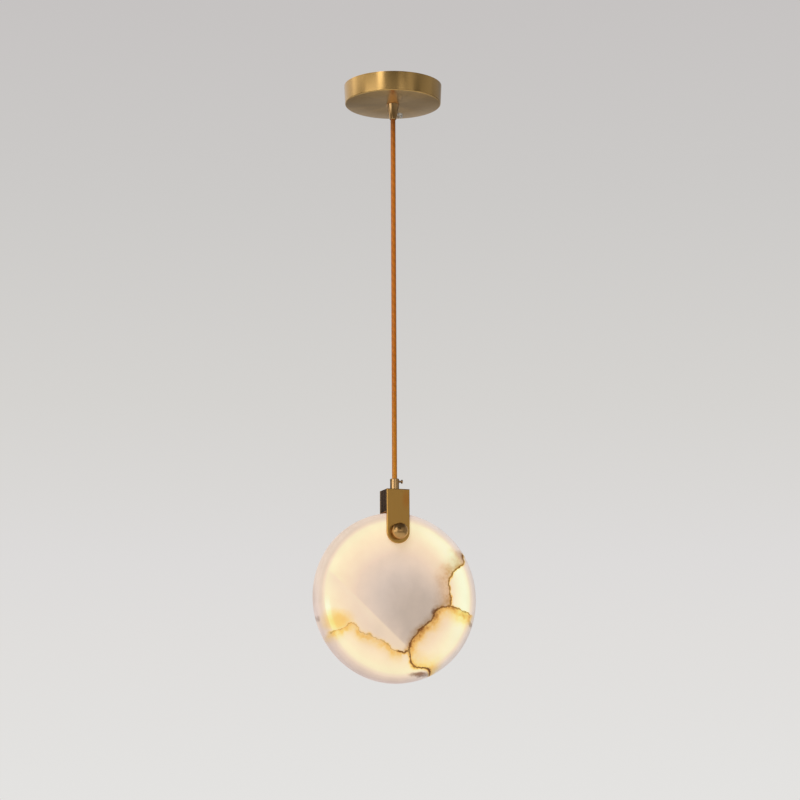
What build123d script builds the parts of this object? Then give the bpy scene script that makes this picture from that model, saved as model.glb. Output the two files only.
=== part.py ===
from build123d import *
import math
import os

# Alabaster disc pendant light, in millimetres.
# The origin is the middle of the ceiling plate's top face. +Z is up, the light hangs below it,
# and the disc faces -Y with its thickness along Y.

# Clearances
running_clearance = 0.08
press_clearance = 0.02
screw_clearance = 0.05
part_gap = 0.3
face_clearance = 0.1
cut_margin = 1.0

# Ceiling plate
plate_rim_gap = 4.7
plate_thickness = 1.5
slot_spacing = 84.0
slot_length = 12.0
slot_width = 4.5
cable_hole_diameter = 16.0

# Bridge bracket under the plate
bridge_width = 16.0
bridge_thickness = 1.5
bridge_half_span = 22.0
bridge_foot_length = 11.0
bridge_bend_radius = 2.0
bridge_screw_diameter = 4.0
bridge_screw_head_diameter = 7.6
bridge_screw_head_height = 2.6

# Canopy cup
canopy_diameter = 118.4
canopy_bottom_diameter = 116.2
canopy_height = 23.2
canopy_wall = 1.5
canopy_edge = 0.8

# Threaded nipple of the canopy and its lock nuts
nipple_diameter = 10.0
nipple_bore_clearance = 0.8
nipple_rise = 3.6
nipple_reach = 8.6
nut_across_flats = 14.0
nut_thickness = 3.0
nut_floor_gap = 3.2
nut_sides = 6

# Driver, terminal block and their screws
driver_length = 62.0
driver_width = 24.0
driver_height = 15.0
driver_front = 18.0
driver_corner = 1.5
driver_edge = 0.8
driver_ear_length = 7.0
driver_ear_width = 9.0
driver_ear_thickness = 2.0
driver_ear_corner = 3.0
driver_lead_depth = 3.0
terminal_pole_width = 9.0
terminal_poles = 3
terminal_depth = 17.0
terminal_height = 13.0
terminal_base_height = 5.0
terminal_gap = 1.6
terminal_front = -20.0
terminal_wire_hole = 2.8
terminal_hole_drop = 8.0
terminal_tower_corner = 1.8
terminal_screw_diameter = 3.2
terminal_screw_length = 3.5
plate_screw_diameter = 3.0
plate_screw_head_diameter = 5.6
plate_screw_head_height = 2.0
earth_screw_x = -34.0
earth_screw_y = -25.0
lug_thickness = 0.8
lug_tongue_length = 5.0
lug_tongue_width = 2.4

# Upper cord grip, a cone with a nylon set screw
grip_base_diameter = 15.8
grip_tip_diameter = 8.0
grip_length = 18.8
grip_mouth_flare = 0.7
set_screw_diameter = 4.0
set_screw_height = 6.3
set_screw_head_diameter = 7.0
set_screw_head_start = 6.9
set_screw_head_length = 4.9
set_screw_slot_width = 1.2
set_screw_slot_depth = 1.4
set_screw_edge = 0.8

# Cord
cord_diameter = 6.0
cord_visible_length = 440.4
cord_insertion = 9.5
cord_bore_clearance = 0.2
cord_tail_length = 1.0
neck_turns = (20, 50, 90)
neck_hollow_angle = 40.0
core_diameter = 1.9
core_sides = 8
core_spacing = 3.2
core_rise = 5.2
lead_diameter = 3.0
lead_insertion = 2.5
input_lead_x = 25.0
input_lead_spacing = 5.0
input_lead_turn = -14.0
input_lead_step = 3.5
input_lead_rise = 2.0
input_lead_bend = 4.0
input_lead_drop = 9.0
earth_lead_turn = -15.0
earth_lead_run = 9.0
earth_lead_drop = 3.0
earth_lead_bend = 3.0

# Lower cord grip, a ferrule with a thumb screw
ferrule_diameter = 10.7
ferrule_length = 13.4
ferrule_web = 0.8
ferrule_edge = 0.3
thumb_screw_diameter = 3.0
thumb_screw_drop = 3.0
thumb_neck_diameter = 2.4
thumb_head_start = 8.3
thumb_head_diameter = 5.0
thumb_head_length = 1.5
thumb_head_edge = 0.4
thumb_shank_reach = 0.6
lower_nipple_diameter = 8.0
lower_nipple_bore = 5.2
lower_nipple_depth = 8.0

# Fork: block, cheeks and dowels
fork_width = 28.0
block_height = 26.6
block_edge = 0.3
cheek_thickness = 3.0
cheek_edge = 0.7
bolt_drop = 50.2
dowel_diameter = 3.0
dowel_spacing = 16.0
dowel_drop = 11.0
dowel_depth = 1.5

# Stud, knobs and pads
stud_diameter = 6.0
stud_reach = 7.0
stud_edge = 0.5
knob_bore_depth = 7.5
knob_diameter = 18.6
knob_skirt = 7.0
knob_height = 12.0
pad_diameter = 18.0
pad_thickness = 0.5

# Alabaster disc
disc_diameter = 199.0
disc_thickness = 20.0
disc_edge_radius = 7.0
disc_block_gap = 0.8

# LED ring inside the disc
rim_width = 9.5
groove_width = 16.3
groove_depth = 5.5
groove_gap_angle = 13.0
channel_wall = 1.5
channel_flange = 2.0
channel_flange_thickness = 0.8
channel_gap_angle = 14.5
strip_thickness = 0.4
strip_gap_angle = 16.0
chip_count = 48
chip_length = 2.8
chip_width = 3.5
chip_height = 0.8
chip_gap_angle = 19.0
lead_channel_width = 3.6
disc_lead_diameter = 2.4
disc_lead_bends = (2.0, 12.0, 3.0)
disc_lead_angles = (6.5, 14.5, 16.5)
sleeve_diameter = 10.0

# Levels and places that follow from the sizes above
plate_diameter = canopy_diameter - 2 * (canopy_wall + plate_rim_gap)
plate_bottom = -plate_thickness
canopy_floor = -canopy_height
canopy_floor_inside = canopy_floor + canopy_wall
bridge_web_bottom = canopy_floor_inside + nut_floor_gap + nut_thickness
bridge_web_top = bridge_web_bottom + bridge_thickness
nipple_bore = cord_diameter + nipple_bore_clearance
nipple_top = bridge_web_top + nipple_rise
nipple_bottom = canopy_floor - nipple_reach
grip_tip = canopy_floor - grip_length
set_screw_level = grip_tip + set_screw_height
tail_top = nipple_top + cord_tail_length
core_level = nipple_top + core_rise
input_level = plate_bottom - input_lead_drop
terminal_hole_level = plate_bottom - terminal_hole_drop
tail_bottom = grip_tip + cord_diameter / 2 + part_gap
ferrule_top = grip_tip - cord_visible_length
ferrule_bottom = ferrule_top - ferrule_length
cord_bottom = ferrule_top - cord_insertion
fork_top = ferrule_bottom
block_bottom = fork_top - block_height
cheek_gap = disc_thickness + 2 * (pad_thickness + face_clearance)
fork_depth = cheek_gap + 2 * cheek_thickness
bolt_level = fork_top - bolt_drop
disc_top = block_bottom - disc_block_gap
disc_level = disc_top - disc_diameter / 2
bolt_radius = bolt_level - disc_level
cord_bore_diameter = cord_diameter + cord_bore_clearance
bridge_screw_x = bridge_half_span + bridge_foot_length / 2
driver_middle = driver_front + driver_width / 2
driver_ear_x = driver_length / 2 + driver_ear_length / 2
thumb_screw_level = ferrule_top - thumb_screw_drop
groove_outer_radius = disc_diameter / 2 - rim_width
groove_inner_radius = groove_outer_radius - groove_width
channel_inner_radius = groove_inner_radius + part_gap
channel_outer_radius = channel_inner_radius + channel_wall
strip_radius = channel_outer_radius + face_clearance
chip_radius = strip_radius + strip_thickness
channel_half_height = groove_depth - part_gap

TOP = (Align.CENTER, Align.CENTER, Align.MAX)
BASE = (Align.CENTER, Align.CENTER, Align.MIN)
disc_frame = Location(Plane(origin=(0, 0, disc_level), x_dir=(1, 0, 0), z_dir=(0, -1, 0)))
fork_front = Location(Plane(origin=(0, 0, bolt_level), x_dir=(1, 0, 0), z_dir=(0, -1, 0)))


def hanging_rod(diameter, top, bottom):
    """An upright round bar between two levels."""
    return Pos(0, 0, top) * Cylinder(diameter / 2, top - bottom, align=TOP)


def rod_along_x(diameter, start, end, level):
    """A round bar along X from start to end."""
    bar = Cylinder(diameter / 2, abs(end - start), align=BASE)
    return Pos(min(start, end), 0, level) * Rot(0, 90, 0) * bar


def rod_along_y(diameter, start, end, level):
    """A round bar along Y from start to end."""
    bar = Cylinder(diameter / 2, abs(end - start), align=BASE)
    return Pos(0, max(start, end), level) * Rot(90, 0, 0) * bar


def turned(points):
    """A solid turned about Z from the outline of its right half."""
    return revolve(Plane.XZ * make_face(Polyline(*points, close=True)), axis=Axis.Z)


def wire(points, radii, diameter):
    """A lead along straight runs joined by arcs. Its section has few sides, because nothing shows it."""
    path = FilletPolyline(*points, radius=radii)
    section = Plane(origin=path @ 0, z_dir=path % 0) * RegularPolygon(diameter / 2, core_sides)
    return sweep(section, path=path)


def top_wedge(radius, half_angle):
    """A flat wedge from the middle upwards, half_angle to each side."""
    reach = 2 * radius
    side = reach * math.sin(math.radians(half_angle))
    rise = reach * math.cos(math.radians(half_angle))
    return make_face(Polyline((0, 0), (side, rise), (-side, rise), close=True))


def open_ring(inner, outer, gap_angle):
    """A flat ring that is open at the top over gap_angle to each side."""
    return Circle(outer) - Circle(inner) - top_wedge(outer, gap_angle)


def top_arc(inner, outer, half_angle):
    """The part of a flat ring that lies over half_angle to each side of the top."""
    return (Circle(outer) - Circle(inner)) & top_wedge(outer, half_angle)


def group(*solids):
    """Separate solids kept together in one node."""
    return Compound(children=list(solids))


# Ceiling side

def ceiling_plate():
    """A round steel plate with two screw slots, a cable hole and tapped holes."""
    plate = hanging_rod(plate_diameter, 0, plate_bottom)
    plate -= hanging_rod(cable_hole_diameter, 0, plate_bottom)
    for side in (-1, 1):
        slot = extrude(SlotOverall(slot_length, slot_width), plate_thickness)
        plate -= Pos(side * slot_spacing / 2, 0, plate_bottom) * slot
        tapped = hanging_rod(bridge_screw_diameter + 2 * screw_clearance, 0, plate_bottom)
        plate -= Pos(side * bridge_screw_x, 0, 0) * tapped
    small = hanging_rod(plate_screw_diameter + 2 * screw_clearance, 0, plate_bottom)
    for x, y in plate_screw_places():
        plate -= Pos(x, y, 0) * small
    plate -= Pos(earth_screw_x, earth_screw_y, 0) * small
    return plate


def plate_screw_places():
    """Two screws hold the driver's ears, and two the terminal block."""
    block_middle = terminal_front - terminal_depth / 2
    return (
        (-driver_ear_x, driver_middle),
        (driver_ear_x, driver_middle),
        (-terminal_pole_width / 2, block_middle),
        (terminal_pole_width / 2, block_middle),
    )


def bridge_bracket():
    """A steel strap bent to a hat shape, with its feet on the plate."""
    half = bridge_thickness / 2
    foot_level = plate_bottom - half
    web_level = bridge_web_top - half
    leg_x = bridge_half_span - half
    foot_end = bridge_half_span + bridge_foot_length
    path = FilletPolyline(
        (-foot_end, 0, foot_level),
        (-leg_x, 0, foot_level),
        (-leg_x, 0, web_level),
        (leg_x, 0, web_level),
        (leg_x, 0, foot_level),
        (foot_end, 0, foot_level),
        radius=bridge_bend_radius,
    )
    section = Plane(origin=path @ 0, z_dir=path % 0) * Rectangle(bridge_thickness, bridge_width)
    if section.bounding_box().size.Z > section.bounding_box().size.Y:
        section = Plane(origin=path @ 0, z_dir=path % 0) * Rectangle(bridge_width, bridge_thickness)
    strap = sweep(section, path=path)
    hole = nipple_diameter + 2 * screw_clearance
    strap -= hanging_rod(hole, bridge_web_top + cut_margin, bridge_web_bottom - cut_margin)
    for side in (-1, 1):
        clear = bridge_screw_diameter + 2 * face_clearance
        foot_hole = hanging_rod(clear, 0, plate_bottom - 2 * bridge_thickness)
        strap -= Pos(side * bridge_screw_x, 0, 0) * foot_hole
    return strap


def cheese_screw(diameter, head_diameter, head_height, tip, seat):
    """A screw that points up, with a straight round head below its seat."""
    shank = hanging_rod(diameter, tip, seat)
    head = hanging_rod(head_diameter, seat, seat - head_height)
    return shank + head


def bridge_screws():
    seat = plate_bottom - bridge_thickness
    screw = cheese_screw(
        bridge_screw_diameter, bridge_screw_head_diameter, bridge_screw_head_height, 0, seat
    )
    return group(*[Pos(side * bridge_screw_x, 0, 0) * screw for side in (-1, 1)])


def canopy_nipple():
    """A threaded tube through the bridge and the canopy's floor."""
    tube = hanging_rod(nipple_diameter, nipple_top, nipple_bottom)
    return tube - hanging_rod(nipple_bore, nipple_top, nipple_bottom)


def nipple_nuts():
    """A lock nut above and one below the bridge's web."""
    nuts = []
    for level in (bridge_web_top + nut_thickness, bridge_web_bottom):
        outline = RegularPolygon(nut_across_flats / 2, nut_sides, major_radius=False)
        outline -= Circle(nipple_diameter / 2 + press_clearance)
        nuts.append(Pos(0, 0, level - nut_thickness) * extrude(outline, nut_thickness))
    return group(*nuts)


def canopy_cup():
    """A spun brass cup, a little narrower at its floor, open against the ceiling."""
    top = canopy_diameter / 2
    bottom = canopy_bottom_diameter / 2
    hole = nipple_diameter / 2 + part_gap
    slope = (top - bottom) / canopy_height
    inner_top = top - canopy_wall
    inner_bottom = bottom + slope * canopy_wall - canopy_wall
    cup = turned([
        (hole, canopy_floor),
        (bottom, canopy_floor),
        (top, 0),
        (inner_top, 0),
        (inner_bottom, canopy_floor_inside),
        (hole, canopy_floor_inside),
    ])
    rim = cup.edges().filter_by(GeomType.CIRCLE).filter_by_position(Axis.Z, canopy_floor, canopy_floor)
    return chamfer(rim.sort_by(SortBy.RADIUS)[-1], canopy_edge)


def led_driver():
    """A closed plastic housing with two fixing ears and four lead holes."""
    box = Box(driver_length, driver_width, driver_height, align=TOP)
    box = fillet(box.edges().filter_by(Axis.Z), driver_corner)
    box = chamfer(box.edges().group_by(Axis.Z)[0], driver_edge)
    ears = Box(driver_length + 2 * driver_ear_length, driver_ear_width, driver_ear_thickness, align=TOP)
    ears = chamfer(ears.edges().filter_by(Axis.Z), driver_ear_corner)
    driver = Pos(0, driver_middle, plate_bottom) * (box + ears)
    hole = core_diameter + 2 * face_clearance
    for x, level in driver_lead_places():
        bore = rod_along_y(hole, driver_front - cut_margin, driver_front + driver_lead_depth, level)
        driver -= Pos(x, 0, 0) * bore
    ear_hole = hanging_rod(plate_screw_diameter + 2 * face_clearance, 0, plate_bottom - driver_height)
    for side in (-1, 1):
        driver -= Pos(side * driver_ear_x, driver_middle, 0) * ear_hole
    return driver


def driver_lead_places():
    """The x and level of the two output cores and the two input leads at the driver's front."""
    return (
        (-core_spacing / 2, core_level),
        (core_spacing / 2, core_level),
        (input_lead_x, input_level),
        (input_lead_x + input_lead_spacing, input_level),
    )


def terminal_block():
    """Three nylon poles on one base, each with a wire hole and two screw wells."""
    length = terminal_poles * terminal_pole_width
    block = Box(length, terminal_depth, terminal_base_height, align=TOP)
    tower_width = terminal_pole_width - terminal_gap
    tower = Box(tower_width, terminal_depth, terminal_height, align=TOP)
    tower = chamfer(tower.edges().group_by(Axis.Z)[0].filter_by(Axis.Y), terminal_tower_corner)
    for x in pole_places():
        block += Pos(x, 0, 0) * tower
    block = Pos(0, terminal_front - terminal_depth / 2, plate_bottom) * block
    wire_hole = Box(terminal_wire_hole, terminal_depth, terminal_wire_hole)
    for x in pole_places():
        block -= Pos(x, terminal_front - terminal_depth / 2, terminal_hole_level) * wire_hole
    for x, y in terminal_screw_places():
        well = hanging_rod(
            terminal_screw_diameter + 2 * face_clearance,
            terminal_hole_level,
            plate_bottom - terminal_height - cut_margin,
        )
        block -= Pos(x, y, 0) * well
    clear = hanging_rod(plate_screw_diameter + 2 * face_clearance, 0, plate_bottom - terminal_height)
    for x, y in plate_screw_places()[2:]:
        block -= Pos(x, y, 0) * clear
    return block


def pole_places():
    middle = (terminal_poles - 1) / 2
    return [(i - middle) * terminal_pole_width for i in range(terminal_poles)]


def terminal_screw_places():
    block_middle = terminal_front - terminal_depth / 2
    offset = terminal_depth / 4
    return [(x, block_middle + side * offset) for x in pole_places() for side in (-1, 1)]


def terminal_screws():
    top = terminal_hole_level - core_diameter / 2 - face_clearance
    screw = hanging_rod(terminal_screw_diameter, top, top - terminal_screw_length)
    return group(*[Pos(x, y, 0) * screw for x, y in terminal_screw_places()])


def plate_screws():
    """Small screws up into the plate, through the driver's ears and the terminal block's base."""
    screws = []
    seats = [driver_ear_thickness, driver_ear_thickness, terminal_base_height, terminal_base_height]
    heads = [plate_screw_head_diameter, plate_screw_head_diameter]
    heads += [plate_screw_diameter + 2 * face_clearance] * 2
    for (x, y), depth, head in zip(plate_screw_places(), seats, heads):
        seat = plate_bottom - depth
        if head < plate_screw_head_diameter:
            screw = hanging_rod(plate_screw_diameter, 0, seat)
        else:
            screw = cheese_screw(plate_screw_diameter, head, plate_screw_head_height, 0, seat)
        screws.append(Pos(x, y, 0) * screw)
    return group(*screws)


def earth_screw():
    """A screw that clamps the earth lead's ring lug to the plate."""
    seat = plate_bottom - lug_thickness - face_clearance
    screw = cheese_screw(
        plate_screw_diameter, plate_screw_head_diameter, plate_screw_head_height, 0, seat
    )
    return Pos(earth_screw_x, earth_screw_y, 0) * screw


def earth_lead():
    """A lead from the terminal block's left pole to a ring lug under the earth screw."""
    pole_x = pole_places()[0]
    lug_end = earth_screw_x + lug_tongue_length + core_diameter / 2
    points = [
        (pole_x, terminal_front - lead_insertion, terminal_hole_level),
        (pole_x, earth_lead_turn, terminal_hole_level),
        (pole_x - earth_lead_run, earth_lead_turn, plate_bottom - earth_lead_drop),
        (lug_end, earth_screw_y, plate_bottom - core_diameter / 2 - face_clearance),
    ]
    lead = wire(points, earth_lead_bend, core_diameter)
    hole = Circle(plate_screw_diameter / 2 + face_clearance)
    ring = Circle(plate_screw_head_diameter / 2) - hole
    tongue = Pos(lug_tongue_length / 2, 0) * Rectangle(lug_tongue_length, lug_tongue_width) - hole
    lug = extrude(ring + tongue, lug_thickness)
    lug_place = Pos(earth_screw_x, earth_screw_y, plate_bottom - lug_thickness - face_clearance / 2)
    return group(lead, lug_place * lug)


def input_leads():
    """Two leads from the terminal block past the bridge to the driver."""
    leads = []
    starts = pole_places()[1:]
    ends = driver_lead_places()[2:]
    for i in range(len(starts)):
        start_x = starts[i]
        end_x, level = ends[i]
        turn_y = input_lead_turn - i * input_lead_step
        points = [
            (start_x, terminal_front - lead_insertion, terminal_hole_level),
            (start_x, turn_y, terminal_hole_level),
            (end_x, turn_y + input_lead_rise, level),
            (end_x, driver_front + lead_insertion, level),
        ]
        leads.append(wire(points, input_lead_bend, core_diameter))
    return group(*leads)


def cord_cores():
    """The cord's two cores, bent over from the end of its sheath into the driver."""
    cores = []
    for x, level in driver_lead_places()[:2]:
        cores.append(
            wire(
                [(x, 0, tail_top), (x, 0, level), (x, driver_front + lead_insertion, level)],
                core_level - tail_top - face_clearance,
                core_diameter,
            )
        )
    return group(*cores)


def cord_tail():
    """The cord inside the grip and the nipple."""
    return hanging_rod(cord_diameter, tail_top, tail_bottom)


def cord_grip():
    """A turned cone that screws onto the nipple and clamps the canopy up."""
    base = grip_base_diameter / 2
    tip = grip_tip_diameter / 2
    cone = turned([(0, canopy_floor), (base, canopy_floor), (tip, grip_tip), (0, grip_tip)])
    cone -= hanging_rod(nipple_diameter + 2 * screw_clearance, canopy_floor, nipple_bottom - part_gap)
    bore = cord_bore_diameter / 2 + part_gap
    flare = bore + grip_mouth_flare / 2
    cone -= turned([
        (0, canopy_floor),
        (bore, canopy_floor),
        (bore, grip_tip + grip_mouth_flare),
        (flare, grip_tip),
        (0, grip_tip),
    ])
    hole = set_screw_diameter + 2 * screw_clearance
    return cone - rod_along_x(hole, 0, grip_base_diameter, set_screw_level)


def grip_screw():
    """A clear nylon screw with a slotted round head that presses on the cord."""
    start = cord_diameter / 2 + face_clearance
    head_end = set_screw_head_start + set_screw_head_length
    shank = rod_along_x(set_screw_diameter, start, set_screw_head_start, set_screw_level)
    head = rod_along_x(set_screw_head_diameter, set_screw_head_start, head_end, set_screw_level)
    head = chamfer(head.edges().group_by(Axis.X)[-1], set_screw_edge)
    slot = Box(2 * set_screw_slot_depth, 2 * set_screw_head_diameter, set_screw_slot_width)
    return shank + head - Pos(head_end, 0, set_screw_level) * slot


# Cord

def cord_neck():
    """The free cord's first stretch, a bead so that it can bend either way in the grip's mouth."""
    radius = cord_diameter / 2 - face_clearance
    turns = [math.radians(turn) for turn in neck_turns]
    upper = [(radius * math.sin(turn), radius * math.cos(turn)) for turn in turns]
    lower = [(x, -z) for x, z in reversed(upper[:-1])]
    return Pos(0, 0, grip_tip) * turned([(0, radius), *upper, *lower, (0, -radius)])


def cord():
    """The straight run of the cord into the ferrule, with a pointed hollow round the neck at its top."""
    run = hanging_rod(cord_diameter, grip_tip, cord_bottom)
    slope = math.radians(neck_hollow_angle)
    depth = (cord_diameter / 2 + part_gap) / math.sin(slope)
    mouth = depth * math.tan(slope)
    return run - Pos(0, 0, grip_tip) * turned([(0, 0), (mouth, 0), (0, -depth)])


# Fork

def lower_grip():
    """A turned ferrule, bored for the cord above and tapped for the nipple below."""
    ferrule = hanging_rod(ferrule_diameter, ferrule_top, ferrule_bottom)
    ferrule = chamfer(ferrule.edges().group_by(Axis.Z)[-1], ferrule_edge)
    web_top = cord_bottom - part_gap
    ferrule -= hanging_rod(cord_bore_diameter, ferrule_top, web_top)
    ferrule -= hanging_rod(lead_diameter + 2 * part_gap, web_top, ferrule_bottom)
    tapped = lower_nipple_diameter + 2 * press_clearance
    ferrule -= hanging_rod(tapped, web_top - ferrule_web, ferrule_bottom)
    hole = thumb_screw_diameter + 2 * screw_clearance
    return ferrule - rod_along_x(hole, 0, ferrule_diameter, thumb_screw_level)


def lower_nipple():
    """A short threaded tube that joins the ferrule to the block."""
    top = cord_bottom - part_gap - ferrule_web - face_clearance
    bottom = fork_top - lower_nipple_depth
    tube = hanging_rod(lower_nipple_diameter, top, bottom)
    return tube - hanging_rod(lower_nipple_bore, top, bottom)


def thumb_screw():
    """A brass screw with a thin neck and a round head, at the ferrule's side."""
    start = cord_diameter / 2 + face_clearance
    shank_end = ferrule_diameter / 2 + thumb_shank_reach
    head_end = thumb_head_start + thumb_head_length
    shank = rod_along_x(thumb_screw_diameter, start, shank_end, thumb_screw_level)
    neck = rod_along_x(thumb_neck_diameter, shank_end, thumb_head_start, thumb_screw_level)
    head = rod_along_x(thumb_head_diameter, thumb_head_start, head_end, thumb_screw_level)
    head = chamfer(head.edges().filter_by(GeomType.CIRCLE), thumb_head_edge)
    return shank + neck + head


def fork_block():
    """A solid brass block between the cheeks, bored for nipple, lead and dowels."""
    block = Pos(0, 0, fork_top) * Box(fork_width, cheek_gap, block_height, align=TOP)
    block = chamfer(block.edges().filter_by(Axis.Y), block_edge)
    tapped = lower_nipple_diameter + 2 * press_clearance
    block -= hanging_rod(tapped, fork_top, fork_top - lower_nipple_depth - face_clearance)
    block -= hanging_rod(lead_diameter + 2 * part_gap, fork_top, block_bottom)
    for x in dowel_places():
        hole = rod_along_y(dowel_diameter + 2 * press_clearance, -cheek_gap, cheek_gap, dowel_level)
        block -= Pos(x, 0, 0) * hole
    return block


dowel_level = fork_top - dowel_drop


def dowel_places():
    return (-dowel_spacing / 2, dowel_spacing / 2)


def cheek(side):
    """A flat plate with a fully rounded lower end. side is -1 at the front and 1 at the back."""
    rise = fork_top - bolt_level
    outline = Pos(0, rise / 2) * Rectangle(fork_width, rise) + Circle(fork_width / 2)
    plate = extrude(outline, cheek_thickness)
    plate = chamfer(plate.faces().sort_by(Axis.Z)[-1].edges(), cheek_edge)
    bolt_hole = Cylinder(stud_diameter / 2 + running_clearance, cheek_thickness, align=BASE)
    plate -= bolt_hole
    for x in dowel_places():
        hole = Cylinder(dowel_diameter / 2 + press_clearance, dowel_depth + face_clearance, align=BASE)
        plate -= Pos(x, dowel_level - bolt_level, 0) * hole
    plate = Pos(0, 0, cheek_gap / 2) * plate
    if side > 0:
        plate = mirror(plate, about=Plane.XY)
    return fork_front * plate


def cheek_dowels():
    """Two steel pins through the block and a little way into each cheek."""
    reach = cheek_gap / 2 + dowel_depth
    pin = rod_along_y(dowel_diameter, -reach, reach, dowel_level)
    return group(*[Pos(x, 0, 0) * pin for x in dowel_places()])


def bolt_stud():
    """A threaded stud through both cheeks and the stone, into both knobs."""
    reach = fork_depth / 2 + stud_reach
    stud = rod_along_y(stud_diameter, -reach, reach, bolt_level)
    return chamfer(stud.edges().filter_by(GeomType.CIRCLE), stud_edge)


def knob(side):
    """A domed nut on the stud's end, with a short straight skirt."""
    radius = knob_diameter / 2
    dome = knob_height - knob_skirt
    crown_radius = (radius**2 + dome**2) / (2 * dome)
    crown_centre = knob_height - crown_radius
    turn = math.degrees(math.atan2(knob_skirt - crown_centre, radius))
    crown = CenterArc((0, crown_centre), crown_radius, turn, 90 - turn)
    sides = Polyline((0, knob_height), (0, 0), (radius, 0), (radius, knob_skirt))
    turned_knob = revolve(Plane.XZ * make_face([crown, sides]), axis=Axis.Z)
    bore = Cylinder(stud_diameter / 2 + running_clearance, knob_bore_depth, align=BASE)
    turned_knob -= bore
    turned_knob = Pos(0, 0, fork_depth / 2 + face_clearance) * turned_knob
    if side > 0:
        turned_knob = mirror(turned_knob, about=Plane.XY)
    return fork_front * turned_knob


def stone_pads():
    """Nylon washers stuck inside the cheeks, one each side of the stone."""
    pads = []
    for side in (-1, 1):
        ring = Circle(pad_diameter / 2) - Circle(stud_diameter / 2 + running_clearance)
        start = cheek_gap / 2 - pad_thickness if side < 0 else -cheek_gap / 2
        pads.append(fork_front * (Pos(0, 0, start) * extrude(ring, pad_thickness)))
    return group(*pads)


def fork_lead():
    """The lamp lead inside ferrule, nipple and block."""
    return hanging_rod(lead_diameter, cord_bottom - part_gap, block_bottom)


# Disc

def stone_half(side):
    """One half of the alabaster disc, with half of the LED groove and of the lead's channel."""
    radius = disc_diameter / 2
    half = disc_thickness / 2
    flat = radius - disc_edge_radius
    wall = half - disc_edge_radius
    sides = Polyline((flat, half), (0, half), (0, 0), (radius, 0), (radius, wall))
    corner = RadiusArc((radius, wall), (flat, half), -disc_edge_radius)
    stone = revolve(Plane.XZ * make_face([sides, corner]), axis=Axis.Z)
    groove = open_ring(groove_inner_radius, groove_outer_radius, groove_gap_angle)
    stone -= extrude(groove, groove_depth)
    lead_inner = groove_outer_radius - lead_channel_width
    link = top_arc(lead_inner, groove_outer_radius, channel_gap_angle)
    stone -= extrude(link, lead_channel_width / 2)
    entry = Cylinder(lead_channel_width / 2, radius - lead_inner, align=BASE)
    stone -= Pos(0, lead_inner + lead_channel_width / 2, 0) * Rot(-90, 0, 0) * entry
    bolt_hole = Cylinder(sleeve_diameter / 2 + screw_clearance, half, align=BASE)
    stone -= Pos(0, bolt_radius, 0) * bolt_hole
    if side > 0:
        stone = mirror(stone, about=Plane.XY)
    return disc_frame * stone


def bolt_sleeve():
    """A brass sleeve in the stone that turns on the stud."""
    half = disc_thickness / 2
    tube = rod_along_y(sleeve_diameter, -half, half, bolt_level)
    bore = stud_diameter + 2 * running_clearance
    return tube - rod_along_y(bore, -half, half, bolt_level)


def led_channel():
    """A C-shaped aluminium channel with its open side facing the rim."""
    outer = channel_outer_radius + channel_flange
    wall = open_ring(channel_inner_radius, channel_outer_radius, channel_gap_angle)
    flange = open_ring(channel_inner_radius, outer, channel_gap_angle)
    channel = Pos(0, 0, -channel_half_height) * extrude(wall, 2 * channel_half_height)
    for start in (-channel_half_height, channel_half_height - channel_flange_thickness):
        channel += Pos(0, 0, start) * extrude(flange, channel_flange_thickness)
    return disc_frame * channel


def led_strip():
    """A flexible board round the channel's outer face."""
    half = channel_half_height - channel_flange_thickness - face_clearance
    board = open_ring(strip_radius, chip_radius, strip_gap_angle)
    return disc_frame * (Pos(0, 0, -half) * extrude(board, 2 * half))


def led_chips():
    """Chips at even steps round the strip, facing the rim."""
    span = 360 - 2 * chip_gap_angle
    chips = []
    for i in range(chip_count):
        angle = 90 - chip_gap_angle - span * i / (chip_count - 1)
        chip = Pos(chip_radius + chip_height / 2, 0, 0) * Box(chip_height, chip_length, chip_width)
        chips.append(disc_frame * (Rot(0, 0, angle) * chip))
    return group(*chips)


def disc_lead():
    """The lamp lead from the disc's top, round the bolt's side, to the strip's end."""
    level = groove_outer_radius - lead_channel_width / 2

    def at(radius, angle):
        return (
            radius * math.sin(math.radians(angle)),
            0,
            disc_level + radius * math.cos(math.radians(angle)),
        )

    points = [
        (0, 0, disc_top - part_gap),
        (0, 0, disc_level + level),
        at(level, disc_lead_angles[0]),
        at(level, disc_lead_angles[1]),
        at(chip_radius + disc_lead_diameter + part_gap, disc_lead_angles[2]),
    ]
    return wire(points, disc_lead_bends, disc_lead_diameter)


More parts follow.
